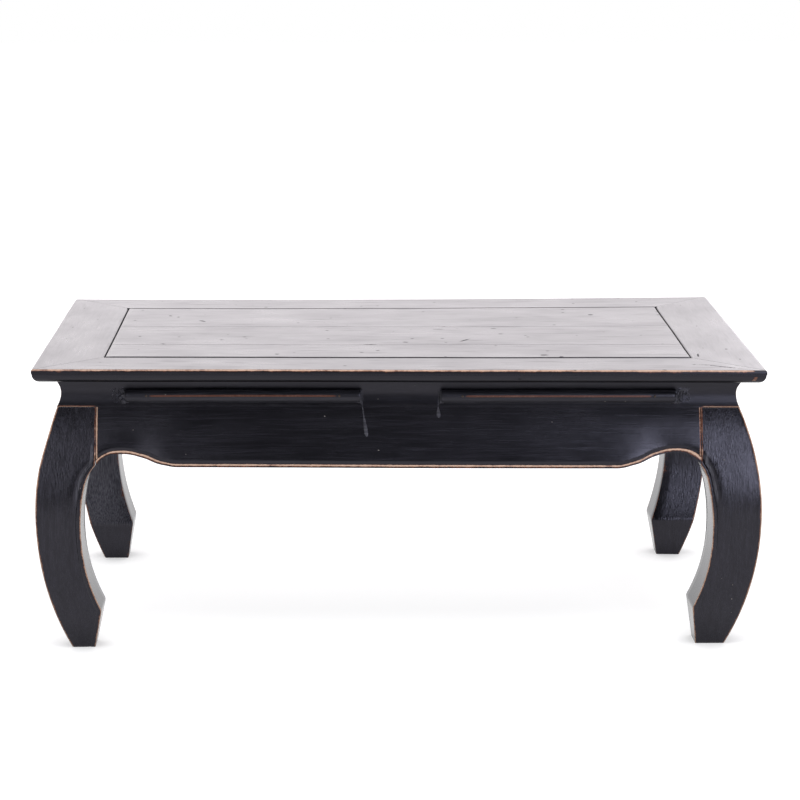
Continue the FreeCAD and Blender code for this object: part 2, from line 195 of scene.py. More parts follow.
# Pale greys for dust on the lacquer runs and for painted light: lit faces of the bars and legs, and
# highlights in the leg grooves
DUST_AND_PAINTED_LIGHT_GREYS = ("#222226", "#6a696f")
SHEEN_TINT = "#f1edff"
# Across and along the grain, the size of the cells that may hold a nick
NICK_CELL = 14
NICK_CELL_LENGTH = 24
# The brush wanders by this much in every so many millimetres
BRUSH_DRIFT = 7
BRUSH_DRIFT_LENGTH = 90


def brush_marks(tree, coords, along, mark):
    """Marks of the brush along the grain, from broad streaks to fine lines, and clouds in the coat."""
    drift = add(tree, "ShaderNodeTexNoise",
                {"Vector": coords, "Scale": 1 / (BRUSH_DRIFT_LENGTH * MM), "Detail": 1.0}).outputs["Color"]
    bent = add(tree, "ShaderNodeVectorMath",
               {"operation": "MULTIPLY_ADD", 0: drift, 1: [BRUSH_DRIFT * MM] * 3, 2: coords}).outputs[0]
    return {"broad": streaks(tree, bent, along, 200, 6, 3.0),
            "fine": streaks(tree, bent, along, 70, 1.4, 4.0),
            "ticks": streaks(tree, bent, along, mark[0], mark[1], 2.0),
            "lines": streaks(tree, bent, along, 90, 7, 2.0),
            "cloud": streaks(tree, coords, along, 120, 60, 3.0)}


def rubbed_places(tree, coords, along, tear):
    """Undercoat and bare wood where a piece's own rub value is high, broken up in patches and flecks."""
    rub = add(tree, "ShaderNodeAttribute", {"attribute_name": "rub"}).outputs["Fac"]
    patch = streaks(tree, coords, along, 14, 14, 3.0)
    fleck = streaks(tree, coords, along, 3, 3, 2.0)
    torn = arithmetic(tree, "MULTIPLY_ADD", patch, 0.7 * tear, -0.6 * tear)
    torn = arithmetic(tree, "MULTIPLY_ADD", fleck, 0.5 * tear, torn)
    level = arithmetic(tree, "ADD", rub, torn)
    return {"patch": patch, "fleck": fleck,
            "brown": rescaled(tree, level, 0.38, 0.56, smooth=True),
            "bare": rescaled(tree, level, 0.58, 0.86, smooth=True)}


def scattered_nicks(tree, coords, along, cloud, nick_size):
    """Nicks in some of the cells, more of them where the coat is cloudy."""
    place = stretched(tree, coords, along, NICK_CELL_LENGTH, NICK_CELL)
    cells = add(tree, "ShaderNodeTexVoronoi", {"Vector": place, "Scale": 1.0}).outputs
    chance = add(tree, "ShaderNodeSeparateColor", {0: cells["Color"]}).outputs
    picked = arithmetic(tree, "MULTIPLY_ADD", cloud, 0.8, chance[0])
    chosen = arithmetic(tree, "GREATER_THAN", picked, 1.12)
    widest = nick_size / NICK_CELL
    size = rescaled(tree, chance[1], 0.0, 1.0, widest * 0.4, widest)
    reach = arithmetic(tree, "DIVIDE", cells["Distance"], size)
    spot = rescaled(tree, reach, 0.6, 1.0, 1.0, 0.0)
    return arithmetic(tree, "MULTIPLY", spot, chosen)


def knocked(tree, coords, nick, fleck, knocks):
    """The nicks with ragged dents and scratches added at their own places."""
    ragged = arithmetic(tree, "MULTIPLY_ADD", fleck, 1.8, -0.9)
    for (x, y), (half_length, half_width), turn in knocks:
        own = add(tree, "ShaderNodeMapping",
                  {"vector_type": "TEXTURE", "Vector": coords, "Location": (x * MM, y * MM, HEIGHT * MM),
                   "Rotation": (0, 0, math.radians(turn)),
                   "Scale": (half_length * MM, half_width * MM, KNOCK_DEPTH * MM)}).outputs[0]
        far = add(tree, "ShaderNodeVectorMath", {"operation": "LENGTH", 0: own}).outputs["Value"]
        far = arithmetic(tree, "ADD", far, ragged)
        nick = arithmetic(tree, "MAXIMUM", nick, rescaled(tree, far, 0.45, 1.0, 1.0, 0.0))
    return nick


def coat_colour(tree, brush, rubbed, nick, dust_and_painted_light, tones, nick_colour):
    """Film with its streaks, pale grey for dust and for painted light where the points carry it, undercoat,
    bare wood and nicks, one over the other.
    """
    streak = rescaled(tree, brush["broad"], 0.32, 0.68)
    tick = rescaled(tree, brush["ticks"], 0.42, 0.68, smooth=True)
    shade = add(tree, "ShaderNodeMix", {"data_type": "FLOAT", 0: 0.5, 2: streak, 3: tick}).outputs[0]
    film = mixed(tree, shade, *tones)
    # Pale grey mixed in by each point's share: partly dust on the lacquer runs, elsewhere painted light and
    # painted highlights
    dust_and_painted_light_grey = mixed(tree, rescaled(tree, brush["fine"], 0.36, 0.66), *DUST_AND_PAINTED_LIGHT_GREYS)
    film = mixed(tree, dust_and_painted_light, film, dust_and_painted_light_grey)
    under = mixed(tree, rubbed["brown"], film, UNDERCOAT)
    wood = mixed(tree, brush["fine"], *BARE_WOOD)
    worn = mixed(tree, rubbed["bare"], under, wood)
    # Nicks take their own colour; the pale one is partly chips and partly painted glints
    return mixed(tree, nick, worn, nick_colour)


def coat_sheen(tree, brush, rubbed, nick, dust_and_painted_light, sheen, brushed):
    """Roughness: satin, duller in patches, and duller still in lines, under the pale grey of dust and
    painted light, at nicks and on bare wood.
    """
    uneven = weighted(tree, brush["cloud"], (0.6, brush["fine"]))
    satin = rescaled(tree, uneven, 0.55, 1.05, *sheen)
    ridge = rescaled(tree, brush["lines"], 0.56, 0.72, smooth=True)
    satin = weighted(tree, satin, (brushed, ridge), (0.15, dust_and_painted_light), (0.5, nick))
    return add(tree, "ShaderNodeMix",
               {"data_type": "FLOAT", 0: rubbed["bare"], 2: satin, 3: 0.62}).outputs[0]


def coat_relief(tree, brush, rubbed, nick, relief):
    """Normals of the brush lines and unevenness, with nicks and rubbed places sunk."""
    height = weighted(tree, brush["broad"], (0.4, brush["fine"]), (1.7, brush["ticks"]),
                      (1.6, rubbed["patch"]), (-2.5, nick), (-0.7, rubbed["bare"]))
    return add(tree, "ShaderNodeBump",
               {"Strength": 1.0, "Distance": relief * MM, "Height": height}).outputs[0]


def lacquer(name, along, relief, tones, sheen, brushed, nick_size=1.0, nick_colour=PALE_CHIP_AND_PAINTED_GLINT,
            mark=(26, 3), tear=1.0, knocks=()):
    """Satin black lacquer brushed on wood: soft streaks along the grain, rubbed through at the edges.

    The film gives a dark, slightly blue satin sheen with brush lines; where hands rub it, first a
    brown undercoat and then dry pale wood shows, which is rougher and scatters light. Relief is the
    height of the brush lines and nick_size the size of the scattered nicks, in millimetres; tones are
    the colours of the darkest and palest streaks, sheen the roughness of the smoothest and the dullest
    patches and brushed how much the brush lines dull it; mark is the length and width of the short
    brush marks and tear how ragged the rubbed places are.
    """
    material, tree, coords = new_material(name)
    # Each point's share of pale grey, for dust and for painted light
    dust_and_painted_light = add(tree, "ShaderNodeAttribute", {"attribute_name": "dust_and_painted_light"}).outputs["Fac"]
    brush = brush_marks(tree, coords, along, mark)
    rubbed = rubbed_places(tree, coords, along, tear)
    nick = scattered_nicks(tree, coords, along, brush["cloud"], nick_size)
    nick = knocked(tree, coords, nick, rubbed["fleck"], knocks)
    finish_material(tree, {
        "Base Color": coat_colour(tree, brush, rubbed, nick, dust_and_painted_light, tones, nick_colour),
        "Roughness": coat_sheen(tree, brush, rubbed, nick, dust_and_painted_light, sheen, brushed),
        "Normal": coat_relief(tree, brush, rubbed, nick, relief),
        "IOR": 1.46, "Specular Tint": linear(SHEEN_TINT)})
    return material


# Lacquer by the direction of its grain: brushed thick on the legs, smoother on aprons, waist and bars,
# and rubbed flat and smooth on the top
LEG_TONES = ("#030304", "#28272d")
APRON_TONES = ("#0c0c0e", "#201f24")
WAIST_TONES = ("#030304", "#19181c")
TOP_TONES = ("#030304", "#17161a")
# The long boards and rails, then the end rails: grain, relief, brushing and size of nicks
TOP_COATS = ((0, "x", 0.03, 0.07, 2.0), (1, "y", 0.012, 0.02, 1.8))
LEG_LACQUER = lacquer("lacquer_legs", along=2, relief=0.14, tones=LEG_TONES, sheen=(0.14, 0.28),
                      brushed=0.14, mark=(16, 1.8))
LEG_INNER_LACQUER = lacquer("lacquer_inside_legs", along=2, relief=0.02, tones=LEG_TONES, sheen=(0.12, 0.2),
                            brushed=0.05)
APRON_LACQUER = [lacquer("lacquer_aprons_grain_" + axis, along=k, relief=0.06, tones=APRON_TONES,
                         sheen=(0.16, 0.3), brushed=0.06, mark=(70, 2.2))
                 for k, axis in enumerate("xy")]
WAIST_LACQUER = [lacquer("lacquer_waist_grain_" + axis, along=k, relief=0.04, tones=WAIST_TONES,
                         sheen=(0.26, 0.4), brushed=0.05, tear=0.35)
                 for k, axis in enumerate("xy")]
TOP_LACQUER = [lacquer("lacquer_top_grain_" + axis, along=k, relief=relief, tones=TOP_TONES,
                       sheen=(0.26, 0.33), brushed=brushed, nick_size=nick_size, nick_colour=DARK_NICK,
                       knocks=TOP_KNOCKS)
               for k, axis, relief, brushed, nick_size in TOP_COATS]


# Other finishes


def washed_wood(name, along):
    """Planed wood with a thin black wash, as under the top: grain shows through, nearly matt."""
    material, tree, coords = new_material(name)
    grain = streaks(tree, coords, along, 120, 4, 4.0)
    bump = add(tree, "ShaderNodeBump", {"Strength": 0.4, "Distance": 0.2 * MM, "Height": grain}).outputs[0]
    finish_material(tree, {"Base Color": mixed(tree, grain, "#1a1512", "#4a3a2c"), "IOR": 1.5,
                           "Roughness": rescaled(tree, grain, 0.3, 0.7, 0.55, 0.75), "Normal": bump})
    return material


def brad_steel(name):
    """Blackened steel nail heads, painted over and worn bright in flecks."""
    material, tree, coords = new_material(name)
    fleck = streaks(tree, coords, 0, 1.2, 1.2, 2.0)
    finish_material(tree, {"Base Color": mixed(tree, fleck, "#141312", "#6d5a49"), "Metallic": 0.35,
                           "Roughness": rescaled(tree, fleck, 0.0, 1.0, 0.4, 0.6)})
    return material


BRAD_STEEL = brad_steel("blackened_brads")
WASHED = washed_wood("washed_wood_under_top", 1)


# Mesh pieces

# The wander of the planing is the same in every run
WANDER_SEED = 5
noise.seed_set(WANDER_SEED)
WANDER = 0.4
WANDER_LENGTH = 150.0
# Hand work by height or by distance from the middle: how far the waist runs out and how far it is
# scraped flatter, where the long sides begin, how the back legs lean and where the lean shoulders are
WAIST_RUN_OUT = ((342, 0.0), (356, 1.0), (368, 1.2), (380, 2.4))
WAIST_FLATTER = ((342, 0.0), (356, 1.9), (368, 3.2), (380, 4.6))
LONG_SIDES = ((200, 0.0), (255, 1.0))
BACK_LEG_LEAN = ((240, 1.0), (335, 0.0))
LEAN_SHOULDERS = ((420, 0.0), (475, 1.0))
SHOULDER_HEIGHT = 302.0
SHOULDER_REACH = 36.0
SHOULDER_DEPTH = 2.5
TILT_HEIGHT = 265.0
# Rise of the front edge at its middle and towards the right, and of the back edge at its middle and ends
FRONT_RISE = (0.6, -3.0)
BACK_RISE = (0.2, 2.2)
# Sideways shift at the middle and towards the right, of the top's two long edges, waist and back legs
TOP_FRONT_SHIFT = (0.9, -2.3)
TOP_BACK_SHIFT = (-3.0, 0.4)
WAIST_SHIFT = (0.6, 1.7)
BACK_LEG_SHIFT = (-3.4, -0.4)


def ramp(points, at):
    """Straight-line value at a place, from (place, value) pairs."""
    places, values = zip(*points)
    return float(np.interp(at, places, values))


def as_made(points):
    """Points in millimetres moved as hand work leaves them, by a few millimetres at most.

    Planing wanders by under half a millimetre. The table stands higher at its left end, its top
    is a little out of square, the waist runs out towards the right and is scraped flatter on the long
    sides, the left shoulders are lean and the back legs stand a little to the left.
    """
    out = np.array(points, dtype=float)
    for p in out.reshape(-1, 3):
        x, y, z = p
        u = x / HALF_LENGTH
        front = 0.5 - y / (2 * HALF_DEPTH)
        p += np.array(noise.noise_vector(Vector(p) / WANDER_LENGTH)) * WANDER
        lift = min(1.0, z / TILT_HEIGHT)
        rise = front * (FRONT_RISE[0] + FRONT_RISE[1] * u)
        p[2] += lift * (rise + (1 - front) * (BACK_RISE[0] + BACK_RISE[1] * u * u))
        if z > UNDERSIDE - 1:
            shift = front * (TOP_FRONT_SHIFT[0] + TOP_FRONT_SHIFT[1] * u)
            p[0] += shift + (1 - front) * (TOP_BACK_SHIFT[0] + TOP_BACK_SHIFT[1] * u)
        elif z > WAIST_BOTTOM:
            p[0] += (WAIST_SHIFT[0] + WAIST_SHIFT[1] * u) * ramp(WAIST_RUN_OUT, z)
            p[1] += math.copysign(ramp(WAIST_FLATTER, z), y) * ramp(LONG_SIDES, abs(y))
        else:
            lean = BACK_LEG_SHIFT[0] + BACK_LEG_SHIFT[1] * u
            p[0] += (1 - front) * lean * ramp(BACK_LEG_LEAN, z)
            shoulder = math.exp(-((z - SHOULDER_HEIGHT) / SHOULDER_REACH) ** 2)
            p[0] += SHOULDER_DEPTH * shoulder * ramp(LEAN_SHOULDERS, -x)
    return out


# Faces that turn by more degrees than this meet in a sharp edge
SHARP_TURN = 38


def coat_places(mesh, coat, size):
    """The mesh's material at each place around a ring; a coat is one lacquer, or a list of them by place."""
    around = coat if isinstance(coat, list) else [coat] * size
    for material in around:
        if material.name not in mesh.materials:
            mesh.materials.append(material)
    return [mesh.materials.find(material.name) for material in around]


def skin(name, shells, node):
    """A closed piece from shells of rings with flat ends; every point has its rub and its share of pale grey
    for dust and painted light.
    """
    mesh = bpy.data.meshes.new(name)
    verts, faces, rubs, dust_and_painted_light_greys, coats = [], [], [], [], []
    for rings, rub, dust_and_painted_light_grey, coat in shells:
        base = len(verts)
        rub = np.array(rub)
        count, size = rub.shape
        around = coat_places(mesh, coat, size)
        verts += [tuple(p * MM) for p in as_made(rings).reshape(-1, 3)]
        rubs += list(rub.reshape(-1))
        dust_and_painted_light_greys += list(np.broadcast_to(dust_and_painted_light_grey, rub.shape).reshape(-1))
        for first in range(base, base + (count - 1) * size, size):
            for p in range(size):
                a, b = first + p, first + (p + 1) % size
                faces.append((a, b, b + size, a + size))
                coats.append(around[p])
        for first in (base, base + (count - 1) * size):
            faces.append(tuple(range(first, first + size)))
            coats.append(around[0])
    mesh.from_pydata(verts, [], faces)
    mesh.polygons.foreach_set("material_index", coats)
    for label, values in (("rub", rubs), ("dust_and_painted_light", dust_and_painted_light_greys)):
        layer = mesh.attributes.new(label, "FLOAT", "POINT")
        layer.data.foreach_set("value", np.array(values, dtype=np.float32))
    turned_out = bmesh.new()
    turned_out.from_mesh(mesh)
    bmesh.ops.recalc_face_normals(turned_out, faces=turned_out.faces)
    turned_out.to_mesh(mesh)
    turned_out.free()
    mesh.shade_smooth()
    mesh.set_sharp_from_angle(angle=math.radians(SHARP_TURN))
    piece = bpy.data.objects.new(name, mesh)
    bpy.context.collection.objects.link(piece)
    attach(piece, "root")
    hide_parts(node)
    return piece


def placed(along, deep, z, reach, quarter):
    """A point of one side of the table, by its place along that side and its inset from the edge."""
    x, y = along, -(reach - deep)
    return [(x, y, z), (-y, x, z), (-x, -y, z), (y, -x, z)][quarter]


# Bowed faces and the beaded edge line


def bow(z):
    """Inset of the bowed outer face at a height."""
    radius = BOW_RADIUS_ABOVE if z > BOW_HEIGHT else BOW_RADIUS_BELOW
    return BOW_INSET + radius - math.sqrt(radius ** 2 - (z - BOW_HEIGHT) ** 2)


def cove(z):
    """Inset of the hollow waist at a height."""
    share = (z - WAIST_BOTTOM) / (UNDERSIDE - WAIST_BOTTOM)
    lean = WAIST_INSET + (BROW_INSET - WAIST_INSET) * share
    return lean + (COVE_INSET - WAIST_INSET + 0.2) * math.sin(math.pi * share ** 0.93)


def traced(start, heading, steps):
    """Points about 0.5 mm apart along a line of tangent arcs and straights."""
    angle = math.radians(heading)
    at = np.array(start)
    points = [at]
    for size, turn in steps:
        sweep = math.radians(turn)
        length = abs(size * sweep) if turn else size
        count = max(2, round(length / 0.5))
        for _ in range(count):
            angle += sweep / count / 2
            at = at + np.array((math.cos(angle), math.sin(angle))) * length / count
            angle += sweep / count / 2
            points.append(at)
    return np.array(points)


HOOF_LINE = traced(LEG_WAIST, -90, HOOF_STEPS)
ARCH_LINE = traced(LEG_WAIST, 90, ARCH_STEPS)
EDGE_LINE = np.vstack([HOOF_LINE[::-1], ARCH_LINE[1:]])

# Depth of the bead, its groove and the hollow beyond, by the distance from the edge
BEAD_PROFILE = ((0.0, 1.0), (0.5, 0.5), (1.2, 0.12), (2.2, 0.0), (3.2, 0.1), (4.2, 0.55), (4.7, 1.1),
                (5.0, 1.6), (5.6, 1.45), (6.6, 1.05), (7.8, 0.6), (9.2, 0.22), (10.8, 0.0))
BEAD_STEPS = [gap for gap, _ in BEAD_PROFILE]


def leg_inside(z):
    """Inset of the leg's inner face at a height; above the arch it is the joint with the apron."""
    line = EDGE_LINE[:np.argmax(EDGE_LINE[:, 0] * (EDGE_LINE[:, 1] > 200) > JOINT_INSET) + 1]
    order = np.argsort(line[:, 1])
    return float(np.interp(z, line[order, 1], line[order, 0], right=JOINT_INSET))


def apron_bottom(inset):
    """Height of the apron's lower edge at an inset along its side."""
    line = ARCH_LINE[ARCH_LINE[:, 1] > 240]
    return float(np.interp(inset, line[:, 0], line[:, 1]))


def sunk_at(inset, z, scale=1.0):
    """How far the face lies below the bowed surface near the edge line: bead, groove and hollow."""
    gap = np.hypot(EDGE_LINE[:, 0] - inset, EDGE_LINE[:, 1] - z).min()
    return ramp(BEAD_PROFILE, gap / scale)


# Legs

# Heights at which a leg's outline is taken, close together round the hoof and the arch
LEG_LEVELS = np.unique(np.concatenate([
    [0.0, 0.7], np.arange(4, 48, 5.0), np.arange(48, 70, 1.6), np.arange(70, 250, 5.0),
    np.arange(250, 296, 1.6), np.arange(296, 340, 4.5), [340.4, 341.5, 342.0]]))
# How far the outer arrises are eased at the floor and under the waist
LEG_END_EASE = {0.0: 0.7, WAIST_BOTTOM: 0.4}
# Rub across the bead, and rub and easing across the joint with the apron above it
LEG_BEAD_RUB = [0.8, 0.86, 0.45, 0.22, 0.15, 0.25, 0.2] + [0.0] * 6
LEG_JOINT_RUB = [0.1, 0.55, 0.62, 0.2] + [0.0] * 9
LEG_JOINT_EASE = [0.6, 0.2] + [0.0] * 11
# Beside the outer arris: distance from it, rub and share of the rolled shoulder
LEG_BY_ARRIS = ((6.0, 0.05, 0.4), (3.6, 0.2, 0.7), (2.2, 0.48, 0.9))
# Round the outer arris: distance along the one face and along the other, and rub
LEG_ARRIS = ((1.1, 0.12, 0.84), (0.45, 0.45, 0.95), (0.12, 1.1, 0.84))
# Along an inner face to the inner arris: share of the way and rub
LEG_INNER_FACE = ((0.05, 0.3), (0.4, 0.0), (0.75, 0.0), (0.98, 0.4))
INNER_COUNT = len(LEG_INNER_FACE)
# Painted highlight in the grooves of the front legs: pale grey lines where the bead catches the light. By
# corner: points across the bead and amount by height
BEAD_PAINTED_HIGHLIGHT = {0: (slice(5, 10), ((205, 0.0), (235, 0.9), (285, 0.9), (296, 0.0))),
             1: (slice(6, 10), ((212, 0.0), (226, 1.0), (275, 1.0), (286, 0.0)))}


def leg_faces(z, side_x, corner, hoof, shank):
    """Insets of a leg's outer and inner faces at a height, and the section of one beaded face.

    The section runs from the inner edge towards the outer arris, as inset, depth and rub.
    """
    drawn = z + CORNER_SAG[corner] * ramp(((225, 0.0), (268, 1.0)), z)
    outer = bow(z) + LEG_END_EASE.get(z, 0.0)
    inner = leg_inside(drawn)
    joint = inner > JOINT_INSET - 0.01 and z > 200
    slope = 0.0 if joint else leg_inside(drawn + 0.5) - leg_inside(drawn - 0.5)
    wide = ramp(((50, 1.4), (250, 1.4), (275, CORNER_BEAD[corner])), z)
    gaps = [gap * (math.hypot(1.0, slope) * wide) for gap in BEAD_STEPS]
    cut = ramp(((110, 0.7 if side_x < 0 else 0.25), (230, 1.9)), z)
    sunk = [cut * sunk_at(inner - gap, drawn, wide) for gap in gaps]
    rubs = LEG_BEAD_RUB
    if joint:
        sunk = [ease + depth for ease, depth in zip(LEG_JOINT_EASE, sunk)]
        rubs = LEG_JOINT_RUB
    inner += ramp(((0, hoof), (55, 0.55 * hoof), (110, shank), (240, shank), (282, 0.0)), z)
    face = [(inner - gap, depth, rub) for gap, depth, rub in zip(gaps, sunk, rubs)]
    flat = inner - gaps[-1] - outer
    face += [(outer + flat * share, 0.0, 0.0) for share in (0.86, 0.7, 0.5, 0.3)]
    return outer, inner, face


def leg_ring(z, side_x, corner, hoof, shank, turned):
    """A leg's outline at a height, as two insets and the rub of each point, and the painted light of each
    point as a share of pale grey.
    """
    outer, inner, face = leg_faces(z, side_x, corner, hoof, shank)
    hem = ramp(((339.9, 0.0), (341.0, 0.12), (342.0, 0.3)), z)
    roll = 0.9 * ramp(((225, 0.0), (280, 1.0)), z) if corner == 1 else 0.0
    foot = 0.55 * ramp(((42, 1.0), (54, 0.0)), z) if hoof < 0 else 0.0
    # Along the front face from the inner edge, round the outer arris and back along the end face
    ring = [(across, outer + depth, max(rub, hem)) for across, depth, rub in face]
    ring += [(outer + gap, outer + roll * share, max(rub, hem)) for gap, rub, share in LEG_BY_ARRIS]
    ring += [(outer + gap, outer + roll + deep, rub) for gap, deep, rub in LEG_ARRIS]
    ring += [(outer, outer + gap, max(rub, hem)) for gap, rub, _ in LEG_BY_ARRIS[::-1]]
    ring += [(outer + depth, across, max(rub, hem)) for across, depth, rub in face[::-1]]
    # The two inner faces meet at the inner arris; the one along the table's length is painted paler grey
    # above the hoof as a painted reflection, fully on the left legs and a little on the right
    first_inner = len(ring)
    ring += [(outer + (inner - outer) * share, inner - turned * share, rub)
             for share, rub in LEG_INNER_FACE]
    ring.append((inner - 0.3, inner - 0.3 - turned, 0.6))
    ring += [(inner, outer + (inner - turned - outer) * share, max(rub, foot))
             for share, rub in LEG_INNER_FACE[::-1]]
    dust_and_painted_light_grey = np.zeros(len(ring))
    painted_light_inside = ramp(((52, 0.0), (64, 1.0)), z) * (1.0 if side_x < 0 else 0.1)
    dust_and_painted_light_grey[first_inner:first_inner + INNER_COUNT] = painted_light_inside
    # Painted highlight: pale grey lines along the front legs' grooves
    if corner in BEAD_PAINTED_HIGHLIGHT:
        groove, by_height = BEAD_PAINTED_HIGHLIGHT[corner]
        dust_and_painted_light_grey[groove] = ramp(by_height, z)
    return ring, dust_and_painted_light_grey


def leg_piece(node, side_x, side_y, corner, hoof, shank, turned=0.0):
    """A bowed square leg with beaded inner edges, a hoof foot and the post behind the waist.

    Hoof and shank are how much further in the inner face stands at the floor and at mid height than
    on the drawn leg; turned is how far the inner face along the table's length falls back at its
    inner arris.
    The front right shoulder is rolled over at its outer arris.
    """
    def standing(across, deep, z):
        return (side_x * (HALF_LENGTH - across), side_y * (HALF_DEPTH - deep), z)

    rings, rubs, dust_and_painted_light_greys = [], [], []
    for z in LEG_LEVELS:
        ring, dust_and_painted_light_grey = leg_ring(z, side_x, corner, hoof, shank, turned)
        rings.append([standing(across, deep, z) for across, deep, _ in ring])
        rubs.append([rub for _, _, rub in ring])
        dust_and_painted_light_greys.append(dust_and_painted_light_grey)
    corners = ((APRON_BACK, APRON_BACK), (JOINT_INSET, APRON_BACK),
               (JOINT_INSET, JOINT_INSET), (APRON_BACK, JOINT_INSET))
    post = [[standing(across, deep, z) for across, deep in corners] for z in (WAIST_BOTTOM, UNDERSIDE)]
    smooth = INNER_COUNT + 1
    around = [LEG_LACQUER] * (len(ring) - smooth) + [LEG_INNER_LACQUER] * smooth
    shells = [(rings, rubs, dust_and_painted_light_greys, around), (post, np.zeros((2, 4)), 0.0, LEG_LACQUER)]
    return skin(node + "_bowed", shells, node)


# Aprons and waist

APRON_BEAD_RUB = [0.3, 0.32, 0.4, 0.55, 0.95, 0.75, 0.26] + [0.0] * 6
# The worn and eased end of an apron, by the distance from its joint with the leg
APRON_END_RUB = ((0.0, 0.1), (0.6, 0.9), (1.6, 1.0), (2.4, 0.4), (3.4, 0.05))
APRON_END_EASE = ((0.0, 0.6), (0.6, 0.15), (1.6, 0.0))
# A shallow hollow scraped above each arch: place along the side and height, reach both ways and depth
HOLLOW_INSET, HOLLOW_HEIGHT = 142, 288
HOLLOW_LENGTH, HOLLOW_RISE = 28, 22
HOLLOW_DEPTH = 1.2
# Wear of the waist towards its mitres, and along its hem over the legs from the lowest line up
MITRE_RUB = ((0.985, 0.0), (0.997, 0.25), (1.0, 0.55))
WAIST_HEM_RUB = (0.5, 0.9, 0.35)
# The arched wing at each end of an apron has closer stations than the straight middle
WING = 116
WING_STEPS = np.concatenate([[0.0, 0.6, 1.6, 2.4, 3.4], np.arange(5.0, 40, 2.0), np.arange(40, WING, 4.0)])


def apron_face(inset, z, ease):
    """Inset of the bowed face, scraped a little hollow above the arch."""
    along = (inset - HOLLOW_INSET) / HOLLOW_LENGTH
    up = (z - HOLLOW_HEIGHT) / HOLLOW_RISE
    return bow(z) + ease + HOLLOW_DEPTH * math.exp(-along ** 2 - up ** 2)


def apron_ring(x, half, quarter):
    """Section of an apron at a place along its side, as inset, height and rub."""
    inset = half - abs(x)
    near_corner = (quarter + (x > 0)) % 4
    corner = CORNER_SAG[near_corner]
    wide = ramp(((86, CORNER_BEAD[near_corner]), (165, 1.0)), inset)
    hang = ((86, corner), (114, 1.36 * corner), (146, 1.36 * corner), (181, 0.2 * corner))
    sag = ramp(hang + ((200, 4.5 - 0.8 * corner), (500, 1.9)), inset)
    low = apron_bottom(inset) - sag
    rise = apron_bottom(inset + 0.5) - apron_bottom(inset - 0.5)
    stretch = math.hypot(1.0, rise) * wide
    from_joint = half - JOINT_INSET - abs(x)
    ends = ramp(APRON_END_RUB, from_joint) * (0.68 if x > 0 else 1.0)
    ease = ramp(APRON_END_EASE, from_joint)
    ring = []
    for gap, value in zip(BEAD_STEPS, APRON_BEAD_RUB):
        z = low + gap * stretch
        deep = apron_face(inset, z, ease) + sunk_at(inset, z + sag, wide)
        ring.append((deep, z, value if value > 0.25 else ends))
    start = low + BEAD_STEPS[-1] * stretch
    for share in (0.15, 0.3, 0.5, 0.7, 0.85, 1.0):
        z = start + (WAIST_BOTTOM - start) * share
        ring.append((apron_face(inset, z, ease), z, ends))
    ring += [(APRON_BACK, WAIST_BOTTOM, 0.0), (APRON_BACK, (WAIST_BOTTOM + low) / 2, 0.0),
             (APRON_BACK, low, 0.1), ((APRON_BACK + bow(low)) / 2, low, 0.0)]
    return ring


def apron_shell(half, reach, quarter):
    """The beaded, arched lower plank of one side."""
    stop = half - JOINT_INSET
    straight = stop - WING
    middle = np.linspace(-straight, straight, 2 * round(straight / 12) + 1)
    rings, rubs = [], []
    for x in np.concatenate([WING_STEPS - stop, middle, stop - WING_STEPS[::-1]]):
        ring = apron_ring(x, half, quarter)
        rings.append([placed(x, deep, z, reach, quarter) for deep, z, _ in ring])
        rubs.append([rub for _, _, rub in ring])
    return rings, rubs, 0.0, APRON_LACQUER[quarter % 2]


def waist_shell(half, reach, quarter):
    """The coved strip over the leg tops, mitred at the corners and worn along its hem over the legs."""
    rise = UNDERSIDE - WAIST_BOTTOM
    section = [(WAIST_INSET, WAIST_BOTTOM), (WAIST_INSET + 0.3, WAIST_BOTTOM + 0.6)]
    for share in np.linspace(0.06, 0.97, 14):
        z = WAIST_BOTTOM + rise * share
        section.append((cove(z), z))
    hollow = len(section)
    section += [(BROW_INSET, UNDERSIDE), (APRON_BACK, UNDERSIDE)]
    section += [(APRON_BACK, (WAIST_BOTTOM + UNDERSIDE) / 2), (APRON_BACK, WAIST_BOTTOM)]
    rings, rubs = [], []
    for t in np.concatenate([[-1.0, -0.997], np.linspace(-0.985, 0.985, 91), [0.997, 1.0]]):
        mitre = ramp(MITRE_RUB, abs(t))
        over_leg = abs(t) * (half - WAIST_INSET) > half - JOINT_INSET - 2
        rub = [mitre] * hollow + [0.0] * (len(section) - hollow)
        if over_leg:
            for k, hem in enumerate(WAIST_HEM_RUB):
                rub[k] = max(rub[k], hem * (1.0 if t > 0 else 0.88))
        rubs.append(rub)
        eased = [0.35 if over_leg else 0.0] + [0.0] * (len(section) - 1)
        rings.append([placed(t * (half - deep), deep + ease, z, reach, quarter)
                      for (deep, z), ease in zip(section, eased)])
    return rings, rubs, 0.0, WAIST_LACQUER[quarter % 2]


def apron_piece(node, half, reach, quarter):
    """Apron and waist of one side."""
    shells = [apron_shell(half, reach, quarter), waist_shell(half, reach, quarter)]
    return skin(node + "_carved", shells, node)


# Top frame and panel


